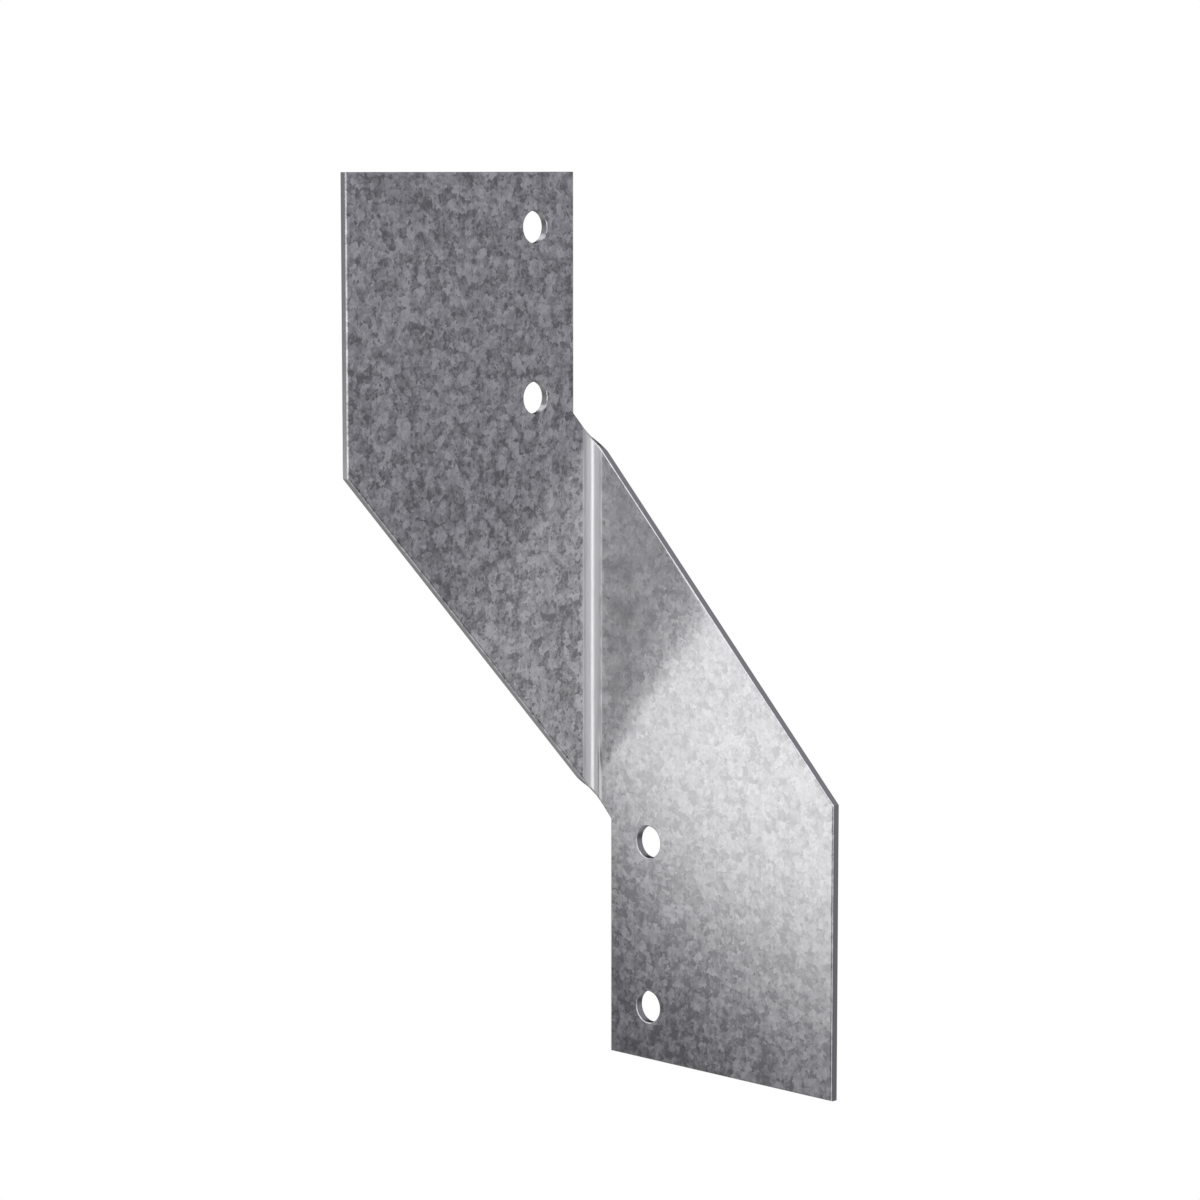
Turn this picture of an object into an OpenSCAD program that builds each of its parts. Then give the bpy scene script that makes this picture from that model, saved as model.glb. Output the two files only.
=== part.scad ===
// Hurricane tie: one piece of galvanised sheet, punched to its outline and
// folded square. The upper flange screws to the side of a rafter, and the
// lower flange to the face of the wall plate that the rafter crosses.
//
// The origin is midway between the lower flange's two screw holes, on the face
// that bears on the wall plate. +Y points into the wall plate and +Z up.

/* [Sheet] */
// Thickness of the sheet
sheet_t = 1.1; // [0.8:0.05:1.8]
// Inside radius of the fold
fold_r = 2; // [1:0.1:4]
// Roll-over that the punch leaves along the outline of the inner faces
edge_roll = 0.25; // [0.1:0.05:0.4]

/* [Outline] */
// Height of the tie
tie_h = 127; // [112:1:160]
// Width of each flange, from the outer corner of the fold to the free edge
flange_w = 47.6; // [36:0.2:60]
// Length of each flange's free edge, the one farther from the fold
free_edge = 41.2; // [34:0.2:52]
// Length of each flange's inner edge, the one beside the fold
inner_edge = 34.2; // [30:0.2:44]
// Flat left between the fold and the inner edge
fold_gap = 1.7; // [0.5:0.1:6]

/* [Screw holes] */
// Diameter of the screw holes
hole_d = 4.6; // [3:0.1:7]
// Roll-over that the punch leaves round each screw hole
hole_roll = 0.15; // [0.05:0.05:0.3]
// Distance from the outer corner of the fold to the line of the holes
hole_gauge = 12.4; // [9:0.1:40]
// Distance from the end of each flange to its first hole
hole_end = 7.7; // [4:0.1:12]
// Distance from each flange's first hole to its second
hole_pitch = 24; // [8:0.5:26]

/* [Version] */
// Side of the rafter that the tie goes on, seen from outside the wall
hand = "right"; // [right, left]

/* [Hidden] */

// Steps that the cut edges take round the fold, and over their rolled edge
fold_steps = 15;
roll_steps = 3;

// The fold: the sheet keeps its length at a third of its thickness
outer_r = fold_r + sheet_t;
neutral_share = 0.33;
fold_arc = PI / 2 * (fold_r + neutral_share * sheet_t);
fold_loss = 2 * outer_r - fold_arc;

// The flat blank: s runs across it from the middle of the fold, below zero on
// the upper flange and above zero on the lower one, and z runs up it from
// mid-height. The two diagonal edges are straight and parallel in the blank.
top_z = tie_h / 2;
free_z = top_z - free_edge;
free_s = fold_loss / 2 - flange_w;
inner_z = top_z - inner_edge;
inner_s = -fold_arc / 2 - fold_gap;
slope = -(free_z + inner_z) / (free_s + inner_s);
slope_angle = atan(slope);
bevel_rise = tan(45 - slope_angle / 2);

// How far the cutting shapes run past the sheet
overrun = fold_r / 10;

// One half of the blank's outline: down the free edge of the upper flange,
// along the lower diagonal and down the inner edge of the lower flange. Each
// point is s and z, then how far it moves in each when the edge moves in by 1.
half_outline = [
  [free_s, top_z, 1, -1],
  [free_s, free_z, 1, bevel_rise],
  for (i = [0:fold_steps])
    let (s = fold_arc * (i / fold_steps - 0.5))
      [s, free_z - slope * (s - free_s), 0, 1 / cos(slope_angle)],
  [-inner_s, -inner_z, 1, bevel_rise],
  [-inner_s, -top_z, 1, 1]
];
// The other half is the same, turned half round
outline = concat(half_outline, -half_outline);

// Section of a cut edge, from behind the sheet to in front of its inner face.
// Each point is its height over the inner face, and how far the edge is in.
function roll_point(roll, a) = roll * [sin(a) - 1, 1 - cos(a)];
function cut_section(roll) =
  let (
    last = roll_point(roll, 90 - 90 / roll_steps),
    rise = roll_point(roll, 90) - last
  )
    [
      [-sheet_t - overrun, 0],
      for (i = [0:roll_steps - 1]) roll_point(roll, 90 * i / roll_steps),
      last + rise * (1 + overrun / norm(rise))
    ];

// Where a point of the blank is on the folded tie, at a height over the inner
// face, measured from the outer corner of the fold at mid-height
function fold_turn(s) = 90 * (s / fold_arc + 0.5);
function folded(s, z, height) =
  fold_turn(s) < -0.01 ? [sheet_t + height, s - fold_loss / 2, z]
  : fold_turn(s) > 90.01 ? [s + fold_loss / 2, -sheet_t - height, z]
  : [
      outer_r - (fold_r - height) * cos(fold_turn(s)),
      (fold_r - height) * sin(fold_turn(s)) - outer_r,
      z
    ];

// A square whose corner at the origin is rounded, lying in +x and -y
module rounded_square(side, r) {
  translate([r, -r]) circle(r, $fn = 96);
  translate([r, -side]) square([side - r, side]);
  translate([0, -side]) square([side, side - r]);
}

// A strip of the sheet, folded square about the z axis
module folded_strip() {
  leg = flange_w + overrun;
  linear_extrude(tie_h + 2 * overrun, center = true)
    difference() {
      rounded_square(leg, outer_r);
      translate([sheet_t, -sheet_t]) rounded_square(leg, fold_r);
    }
}

// What the punched outline keeps of the strip, with its rolled edges
module punched_outline() {
  n = len(outline);
  half = n / 2;
  last = fold_steps + 2;
  edge_section = cut_section(edge_roll);
  rings = len(edge_section);
  cap = [
    [0, 1, 2, half + last, half + last + 1, half + last + 2],
    [half, half + 1, half + 2, last, last + 1, last + 2],
    for (i = [2:last - 1]) [i, i + 1, half + last + 1 - i, half + last + 2 - i]
  ];
  polyhedron(
    points = [
      for (e = edge_section, p = outline)
        folded(p[0] + e[1] * p[2], p[1] + e[1] * p[3], e[0])
    ],
    faces = [
      each cap,
      for (k = [0:rings - 2], i = [0:n - 1])
        let (a = k * n + i, b = k * n + (i + 1) % n)
          each [[a, a + n, b], [b, a + n, b + n]],
      for (c = cap) [for (i = [len(c) - 1:-1:0]) c[i] + (rings - 1) * n]
    ]
  );
}

// A screw hole with a rolled rim, in a sheet whose inner face is at z = 0
module screw_hole() {
  rim = cut_section(hole_roll);
  rotate_extrude($fn = 64)
    polygon([
      [0, rim[0][0]],
      for (e = rim) [hole_d / 2 + e[1], e[0]],
      [0, rim[len(rim) - 1][0]]
    ]);
}

// The holes of the upper flange, and the same turned over to the lower flange
module screw_holes() {
  for (turn = [0, 180], row = [0, 1])
    rotate(turn, [1, -1, 0])
      translate([sheet_t, -hole_gauge, top_z - hole_end - row * hole_pitch])
        rotate([0, 90, 0])
          screw_hole();
}

module folded_tie() {
  pattern_z = top_z - hole_end - hole_pitch / 2;
  color([0.66, 0.66, 0.68])
    mirror([hand == "left" ? 1 : 0, 0, 0])
      translate([-hole_gauge, 0, pattern_z])
        difference() {
          intersection() {
            folded_strip();
            punched_outline();
          }
          screw_holes();
        }
}

folded_tie();
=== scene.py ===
"""Looks of the hurricane tie: spangled zinc, bare metal on its cut edges, and a plain white studio.

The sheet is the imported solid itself, so only its material is made here. The plate flange is the one with +Y
behind it, the rafter flange the one with -X behind it. Lengths are in metres, in the part's own frame, and
in the material the places and the sizes of crystals are in millimetres. Colours are linear.
"""
import math

import bmesh
import bpy
from mathutils import Matrix, Vector


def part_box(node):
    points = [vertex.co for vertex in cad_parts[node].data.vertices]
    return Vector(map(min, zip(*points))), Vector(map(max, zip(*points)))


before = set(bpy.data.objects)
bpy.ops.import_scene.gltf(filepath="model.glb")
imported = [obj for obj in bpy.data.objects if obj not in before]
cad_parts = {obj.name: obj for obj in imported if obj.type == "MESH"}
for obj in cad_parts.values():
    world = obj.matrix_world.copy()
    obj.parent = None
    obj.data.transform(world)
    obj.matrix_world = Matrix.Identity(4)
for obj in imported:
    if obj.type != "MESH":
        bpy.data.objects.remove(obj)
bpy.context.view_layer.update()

MM = 0.001
SHEET_THICKNESS = 1.1 * MM
FOLD_INNER_RADIUS = 2.0 * MM

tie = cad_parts["folded_tie"]
tie_low, tie_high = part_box("folded_tie")
tie_middle = (tie_low + tie_high) / 2
fold_outer_radius = FOLD_INNER_RADIUS + SHEET_THICKNESS
fold_axis = Vector((tie_low.x + fold_outer_radius, tie_high.y - fold_outer_radius, 0))


# --- Nodes ----------------------------------------------------------------------------------------------


class Graph:
    """Adds shader nodes to one tree.

    An input is a number, a tuple, or another node's output, which is then linked.
    """

    # The Mix node has sockets for each kind of value, told apart by their place in its lists.
    NUMBER_A, NUMBER_B, NUMBER_RESULT = 2, 3, 0
    COLOUR_A, COLOUR_B, COLOUR_RESULT = 6, 7, 2

    def __init__(self, tree):
        self.tree = tree

    def add(self, kind, inputs=(), **settings):
        node = self.tree.nodes.new("ShaderNode" + kind)
        for name, value in settings.items():
            setattr(node, name, value)
        for name, value in dict(inputs).items():
            self.feed(node.inputs[name], value)
        return node

    def feed(self, socket, value):
        if isinstance(value, bpy.types.NodeSocket):
            self.tree.links.new(value, socket)
        else:
            socket.default_value = value

    def maths(self, operation, a, b=0.0, c=0.0):
        return self.add("Math", {0: a, 1: b, 2: c}, operation=operation).outputs[0]

    def vector(self, operation, a, b=(0.0, 0.0, 0.0)):
        node = self.add("VectorMath", {0: a, 1: b}, operation=operation)
        return node.outputs["Value" if operation == "DOT_PRODUCT" else "Vector"]

    def axes(self, vector):
        """The X, Y and Z of a vector, by name."""
        return self.add("SeparateXYZ", {"Vector": vector}).outputs

    def ramp(self, value, low, high, to_low=0.0, to_high=1.0, shape="SMOOTHSTEP"):
        """Takes value from low..high to to_low..to_high, and holds it beyond them."""
        inputs = {"Value": value, "From Min": low, "From Max": high, "To Min": to_low, "To Max": to_high}
        return self.add("MapRange", inputs, interpolation_type=shape).outputs["Result"]

    def blend(self, share, a, b):
        """A value that is a where share is 0 and b where it is 1."""
        inputs = {"Factor": share, self.NUMBER_A: a, self.NUMBER_B: b}
        return self.add("Mix", inputs, data_type="FLOAT").outputs[self.NUMBER_RESULT]

    def mix(self, share, a, b):
        """A colour that is a where share is 0 and b where it is 1."""
        inputs = {"Factor": share, self.COLOUR_A: a, self.COLOUR_B: b}
        return self.add("Mix", inputs, data_type="RGBA").outputs[self.COLOUR_RESULT]


# --- Material -------------------------------------------------------------------------------------------

# The zinc, from its darkest crystals to its brightest. That of the plate flange is the more even.
RAFTER_DARK = (0.05, 0.048, 0.06, 1)
RAFTER_LIGHT = (0.80, 0.80, 0.81, 1)
PLATE_DARK = (0.20, 0.198, 0.21, 1)
PLATE_LIGHT = (0.55, 0.55, 0.56, 1)
ZINC_ROUGHNESS = (0.28, 0.40)

# What each layer of the zinc adds to its tone, and the sums that come out as the darkest and the brightest.
LARGE_GREY, SMALL_GREY = 0.55, 0.50
LARGE_SLOPE, SMALL_SLOPE = 0.55, 0.75
GRAIN, CLOUDS = 0.75, 0.3
TONE_RANGE = (0.62, 1.52)

# The dark specks, which are smoother: how much of their colour shows on the rafter and on the plate flange,
# their soft edge as a part of their cell, and what makes the small ones longer than wide.
SPECK_COLOUR = (0.01, 0.01, 0.012, 1)
SPECK_DEPTH = (0.75, 0.30)
SPECK_SMOOTHNESS = 0.06
SPECK_EDGE = (-0.04, 0.06)
SPECK_STRETCH = (1.0, 1.0, 0.75)

# The bare cut edges and hole walls, and how far out of the sheet a surface faces where they begin.
CUT_COLOUR = (0.35, 0.35, 0.36, 1)
CUT_ROUGHNESS = 0.45
CUT_FACING = (0.35, 0.1)

# The fold, whose lighter grey is a painted highlight, by the turn from 0 at the flanges to 1 half way round:
# where it begins, and where its grey goes from that of its sides to that of its middle. It ends where it
# faces along the sheet.
FOLD_START = (0.0, 0.12)
FOLD_MIDDLE = (0.5, 0.85)
FOLD_HIGHLIGHT_GREY = (0.97, 0.75)
FOLD_FACING = (0.6, 0.95)
FOLD_ROUGHNESS = 0.30
FOLD_ROUGHNESS_SHARE = 0.8
STREAK_SCALE = (4.0, 4.0, 0.2)
STREAK_CONTRAST = 0.3

# A painted dark reflection on a corner of the fold: its grey, how high it begins and how far it faces +Y.
PAINTED_DARK_REFLECTION_GREY = 0.15
PAINTED_DARK_REFLECTION_HEIGHT = (26.0, 23.0)
PAINTED_DARK_REFLECTION_SIDE = (0.90, 0.96)

# The thin clear layer that gives the zinc its sheen, and the relief of its grain.
COAT_IOR = 3.0
COAT_ROUGHNESS = 0.19
RELIEF_STRENGTH = 0.3
RELIEF_DEPTH = 0.02 * MM

# The middle of the range of a random colour.
MIDDLE = (0.5, 0.5, 0.5)


def sheet_direction(graph, place):
    """Which way the sheet's outer face looks: -X on the rafter flange and +Y on the plate flange."""
    from_axis = graph.axes(graph.vector("SUBTRACT", place, tuple(fold_axis / MM)))
    rafter_part = graph.maths("MINIMUM", from_axis["X"], 0.0)
    plate_part = graph.maths("MAXIMUM", from_axis["Y"], 0.0)
    outward = graph.add("CombineXYZ", {"X": rafter_part, "Y": plate_part})
    return graph.vector("NORMALIZE", outward.outputs["Vector"])


def crystals(graph, place, size, seed):
    """Zinc crystals about size across: the grey of each, and its shade from side to side."""
    shifted = graph.vector("ADD", place, (seed, -seed, 2 * seed))
    cells = graph.add("TexVoronoi", {"Vector": shifted, "Scale": 1 / size, "Randomness": 1.0})
    grey = graph.add("SeparateColor", {"Color": cells.outputs["Color"]}).outputs["Red"]
    from_seed = graph.vector("SUBTRACT", shifted, cells.outputs["Position"])
    steepest = graph.vector("SUBTRACT", cells.outputs["Color"], MIDDLE)
    slope = graph.maths("DIVIDE", graph.vector("DOT_PRODUCT", from_seed, steepest), size)
    return grey, slope


def specks(graph, place, size, share, radius):
    """Dark dots: a share of the cells has one, and radius is its size as a part of the cell."""
    cells = graph.add("TexVoronoi", {"Vector": place, "Scale": 1 / size, "Randomness": 1.0})
    pick = graph.add("SeparateColor", {"Color": cells.outputs["Color"]}).outputs["Green"]
    own_radius = graph.ramp(pick, 1 - share, 1.0, 0.0, radius)
    depth = graph.maths("SUBTRACT", own_radius, cells.outputs["Distance"])
    return graph.ramp(depth, *SPECK_EDGE)


def crystal_tone(graph, place, bent, grain):
    """0 in the darkest zinc and 1 in the brightest: two sizes of crystal, their grain, and wide clouds."""
    large_grey, large_slope = crystals(graph, bent, size=1.6, seed=0.0)
    small_grey, small_slope = crystals(graph, bent, size=0.9, seed=31.0)
    clouds = graph.add("TexNoise", {"Vector": place, "Scale": 0.25, "Detail": 2.0}).outputs["Fac"]
    layers = (
        (large_grey, LARGE_GREY),
        (small_grey, SMALL_GREY),
        (large_slope, LARGE_SLOPE),
        (small_slope, SMALL_SLOPE),
        (grain, GRAIN),
        (clouds, CLOUDS),
    )
    total = 0.0
    for layer, weight in layers:
        total = graph.maths("MULTIPLY_ADD", layer, weight, total)
    return graph.ramp(total, *TONE_RANGE, shape="LINEAR")


def zinc(graph, place, plate_share, grain):
    """Colour and roughness of the zinc. plate_share is 0 on the rafter flange and 1 on the plate flange."""
    # The wobble bends the straight sides of the crystals.
    wobble = graph.add("TexNoise", {"Vector": place, "Scale": 1.6, "Detail": 2.0, "Roughness": 0.55})
    bent = graph.vector("ADD", place, graph.vector("SUBTRACT", wobble.outputs["Color"], MIDDLE))
    tone = crystal_tone(graph, place, bent, grain)

    stretched = graph.vector("MULTIPLY", bent, SPECK_STRETCH)
    small_specks = specks(graph, stretched, size=0.55, share=0.3, radius=0.45)
    large_specks = specks(graph, place, size=1.3, share=0.35, radius=0.25)
    spotted = graph.maths("MAXIMUM", small_specks, large_specks)
    speck_depth = graph.ramp(plate_share, 0.0, 1.0, *SPECK_DEPTH)

    darkest = graph.mix(plate_share, RAFTER_DARK, PLATE_DARK)
    brightest = graph.mix(plate_share, RAFTER_LIGHT, PLATE_LIGHT)
    colour = graph.mix(tone, darkest, brightest)
    colour = graph.mix(graph.maths("MULTIPLY", spotted, speck_depth), colour, SPECK_COLOUR)
    roughness = graph.ramp(tone, 0.0, 1.0, *ZINC_ROUGHNESS)
    roughness = graph.maths("MULTIPLY_ADD", spotted, -SPECK_SMOOTHNESS, roughness)
    return colour, roughness


def fold_highlight_and_streaks(graph, place, around, plate_share):
    """Grey of the fold: a painted highlight, streaked along its length and lightest where it meets the flat
    of each flange, with a painted dark reflection low on its plate side.
    """
    streaks = graph.add("TexNoise", {"Vector": graph.vector("MULTIPLY", place, STREAK_SCALE), "Scale": 1.0})
    streak = graph.maths("SUBTRACT", streaks.outputs["Fac"], 0.5)
    # The lower end of the fold's plate side is painted dark, a painted dark reflection.
    lower_end = graph.ramp(graph.axes(place)["Z"], *PAINTED_DARK_REFLECTION_HEIGHT)
    plate_side = graph.ramp(plate_share, *PAINTED_DARK_REFLECTION_SIDE)
    grey = graph.ramp(around, *FOLD_MIDDLE, *FOLD_HIGHLIGHT_GREY)
    grey = graph.blend(graph.maths("MULTIPLY", lower_end, plate_side), grey, PAINTED_DARK_REFLECTION_GREY)
    return graph.maths("MULTIPLY_ADD", streak, STREAK_CONTRAST, grey)


def galvanised():
    """The sheet's metal: zinc on its faces, bare on its cut edges and in its holes, and at its fold a lighter
    grey that is a painted highlight.
    """
    material = bpy.data.materials.new("galvanised_sheet")
    material.use_nodes = True
    shader = material.node_tree.nodes["Principled BSDF"]
    graph = Graph(material.node_tree)
    place = graph.vector("MULTIPLY", graph.add("TexCoord").outputs["Object"], (1 / MM,) * 3)
    fine_noise = graph.add("TexNoise", {"Vector": place, "Scale": 2.4, "Detail": 1.5, "Roughness": 0.5})
    grain = fine_noise.outputs["Fac"]
    out_of_sheet = sheet_direction(graph, place)
    sides = graph.axes(out_of_sheet)
    colour, roughness = zinc(graph, place, sides["Y"], grain)

    # The cut edge is where the surface faces along the sheet and not out of it.
    normal = graph.add("NewGeometry").outputs["Normal"]
    facing = graph.maths("ABSOLUTE", graph.vector("DOT_PRODUCT", normal, out_of_sheet))
    cut = graph.ramp(facing, *CUT_FACING)
    colour = graph.mix(cut, colour, CUT_COLOUR)
    roughness = graph.blend(cut, roughness, CUT_ROUGHNESS)

    # Twice the sine times the cosine of the turn is 0 at the flanges and 1 half way round the fold.
    around = graph.maths("MULTIPLY", graph.maths("MULTIPLY", sides["X"], sides["Y"]), -2.0)
    fold = graph.maths("MULTIPLY", graph.ramp(around, *FOLD_START), graph.ramp(facing, *FOLD_FACING))
    # The fold's lighter grey is a painted highlight, and its dark corner a painted dark reflection.
    colour = graph.mix(fold, colour, fold_highlight_and_streaks(graph, place, around, sides["Y"]))
    roughness = graph.blend(graph.maths("MULTIPLY", fold, FOLD_ROUGHNESS_SHARE), roughness, FOLD_ROUGHNESS)

    relief = graph.add("Bump", {"Height": grain, "Strength": RELIEF_STRENGTH, "Distance": RELIEF_DEPTH})
    graph.feed(shader.inputs["Base Color"], colour)
    graph.feed(shader.inputs["Roughness"], roughness)
    graph.feed(shader.inputs["Normal"], relief.outputs["Normal"])
    graph.feed(shader.inputs["Coat Normal"], relief.outputs["Normal"])
    shader.inputs["Metallic"].default_value = 1.0
    shader.inputs["Coat Weight"].default_value = 1.0
    shader.inputs["Coat IOR"].default_value = COAT_IOR
    shader.inputs["Coat Roughness"].default_value = COAT_ROUGHNESS
    return material


tie.data.materials[0] = galvanised()


# --- Studio ---------------------------------------------------------------------------------------------

STAGE_RADIUS = 3.0
FLOOR_SIDES = 96
DOME_SIDES, DOME_RINGS = 48, 24

# The azimuth of the camera's side of the tie, in degrees from +X toward +Y.
FRONT = -45

# The key softbox: its place, the way its back faces, its roll, and its outline about that place. Its lower
# edge fades over KEY_FADE, and each step of the fade is shorter by KEY_INSET.
KEY_PLACE = Vector((-0.067, -0.192, 0.005))
KEY_AZIMUTH, KEY_ELEVATION, KEY_ROLL = 186, 17, -31.6
KEY_WIDTH, KEY_TOP, KEY_BOTTOM = 0.224, 0.072, -0.060
KEY_FADE, KEY_INSET, KEY_STEPS = 0.024, 0.010, 5
KEY_RADIANCE = 1.48

# The world's colours: below the horizon, above it, straight down, and in the dark opening.
WORLD_LOW = (0.10, 0.098, 0.11, 1)
WORLD_HIGH = (0.365, 0.36, 0.395, 1)
WORLD_DOWN = (0.6, 0.6, 0.62, 1)
WORLD_OPENING = (0.01, 0.01, 0.012, 1)

# The Z of a direction where low turns into high, and where it turns into straight down. A direction to the
# right of the picture, toward +X and +Y, counts as higher by this part of its X plus Y.
HORIZON = (-0.35, 0.15)
DOWNWARD = (-0.45, -0.85)
RIGHT_LIFT = 0.11

# The opening's direction in degrees, and the cosines of its soft edge.
OPENING_AZIMUTH, OPENING_ELEVATION = 130, 12
OPENING_EDGE = (0.80, 0.92)

# The camera: focal length in millimetres, place, and its dip and turn in degrees.
FOCAL_LENGTH = 113.2
CAMERA_PLACE = (0.37144, -0.38257, 0.10820)
CAMERA_DIP = 6.571
CAMERA_TURN = 44.98


def plain_white(name):
    """An even white that takes no shading."""
    material = bpy.data.materials.new(name)
    material.use_nodes = True
    graph = Graph(material.node_tree)
    glow = graph.add("Emission", {"Color": (1, 1, 1, 1), "Strength": 1.0})
    graph.feed(material.node_tree.nodes["Material Output"].inputs["Surface"], glow.outputs["Emission"])
    material.cycles.emission_sampling = "NONE"
    return material


def stage_piece(name, shape):
    """A floor or backdrop that the camera sees and the metal does not, so that only the lights shape it."""
    mesh = bpy.data.meshes.new(name)
    shape.to_mesh(mesh)
    shape.free()
    piece = bpy.data.objects.new(name, mesh)
    mesh.materials.append(plain_white(name))
    piece.visible_glossy = False
    bpy.context.scene.collection.objects.link(piece)


def make_stage():
    """A round floor at the tie's foot, in a white dome."""
    floor = bmesh.new()
    bmesh.ops.create_circle(floor, cap_ends=True, segments=FLOOR_SIDES, radius=STAGE_RADIUS)
    bmesh.ops.translate(floor, verts=floor.verts, vec=(0, 0, tie_low.z))
    stage_piece("floor", floor)
    dome = bmesh.new()
    bmesh.ops.create_uvsphere(dome, u_segments=DOME_SIDES, v_segments=DOME_RINGS, radius=STAGE_RADIUS)
    stage_piece("backdrop", dome)


def toward(azimuth, elevation):
    """The direction to a light: azimuth 0 is +X and 90 is +Y, in degrees."""
    a = math.radians(azimuth)
    e = math.radians(elevation)
    return Vector((math.cos(a) * math.cos(e), math.sin(a) * math.cos(e), math.sin(e)))


def softbox(name, at, away, width, height, radiance, roll=0.0, offset=(0, 0)):
    """A plain rectangle of light, offset in its own plane from a point, whose back faces away."""
    data = bpy.data.lights.new(name, "AREA")
    data.shape = "RECTANGLE"
    data.size = width
    data.size_y = height
    data.energy = radiance * math.pi * width * height
    light = bpy.data.objects.new(name, data)
    light.rotation_mode = "QUATERNION"
    turn = Matrix.Rotation(math.radians(roll), 3, "Z").to_quaternion()
    light.rotation_quaternion = away.to_track_quat("Z", "Y") @ turn
    light.location = at + light.rotation_quaternion @ Vector((*offset, 0))
    light.visible_camera = False
    bpy.context.scene.collection.objects.link(light)


def make_key():
    """The main softbox. Its lower edge fades out in steps, each a narrow box and shorter than the last."""
    away = toward(KEY_AZIMUTH, KEY_ELEVATION)
    middle = (0, (KEY_TOP + KEY_BOTTOM) / 2)
    softbox("key", KEY_PLACE, away, KEY_WIDTH, KEY_TOP - KEY_BOTTOM, KEY_RADIANCE, KEY_ROLL, middle)
    step_height = KEY_FADE / KEY_STEPS
    for step in range(KEY_STEPS):
        done = step + 0.5
        radiance = KEY_RADIANCE * ((KEY_STEPS - done) / KEY_STEPS)
        cut_off = KEY_INSET * (step + 1)
        width = KEY_WIDTH - cut_off
        offset = (cut_off / 2, KEY_BOTTOM - KEY_FADE * done / KEY_STEPS)
        softbox(f"key_edge_{step}", KEY_PLACE, away, width, step_height, radiance, KEY_ROLL, offset)


def far_softbox(name, azimuth, elevation, distance, width, height, radiance):
    """A softbox some way from the tie, facing its middle."""
    away = toward(azimuth, elevation)
    softbox(name, tie_middle + away * distance, away, width, height, radiance)


def make_lights():
    """The key, and four plain boxes for the metal to mirror."""
    make_key()
    far_softbox("fill", azimuth=FRONT, elevation=5, distance=1.5, width=3.4, height=2.0, radiance=0.32)
    far_softbox("strip", azimuth=FRONT, elevation=0, distance=1.2, width=0.45, height=1.6, radiance=0.70)
    far_softbox("overhead", azimuth=FRONT, elevation=55, distance=1.2, width=1.2, height=0.5, radiance=1.7)
    far_softbox("side", azimuth=189, elevation=45, distance=1.2, width=0.7, height=0.7, radiance=1.0)


def make_world():
    """Dim light from all round, darkest below the horizon and pale again straight down.

    A dark opening behind the tie shows in the hole walls and in the cut end of the fold.
    """
    world = bpy.data.worlds.new("studio")
    bpy.context.scene.world = world
    world.use_nodes = True
    graph = Graph(world.node_tree)
    outward = graph.add("TexCoord").outputs["Generated"]
    direction = graph.axes(outward)
    to_right = graph.maths("MAXIMUM", graph.maths("ADD", direction["X"], direction["Y"]), 0.0)
    height = graph.maths("MULTIPLY_ADD", to_right, RIGHT_LIFT, direction["Z"])
    glow = graph.mix(graph.ramp(height, *HORIZON), WORLD_LOW, WORLD_HIGH)
    glow = graph.mix(graph.ramp(height, *DOWNWARD), glow, WORLD_DOWN)
    opening = tuple(toward(OPENING_AZIMUTH, OPENING_ELEVATION))
    near_opening = graph.vector("DOT_PRODUCT", outward, opening)
    glow = graph.mix(graph.ramp(near_opening, *OPENING_EDGE), glow, WORLD_OPENING)
    graph.feed(world.node_tree.nodes["Background"].inputs["Color"], glow)


def make_camera():
    data = bpy.data.cameras.new("camera")
    data.lens = FOCAL_LENGTH
    data.clip_start = 0.01
    data.clip_end = 10
    camera = bpy.data.objects.new("camera", data)
    camera.location = CAMERA_PLACE
    camera.rotation_euler = (math.radians(90 - CAMERA_DIP), 0, math.radians(CAMERA_TURN))
    bpy.context.scene.collection.objects.link(camera)
    bpy.context.scene.camera = camera
    bpy.context.scene.view_settings.view_transform = "Standard"


make_stage()
make_lights()
make_world()
make_camera()
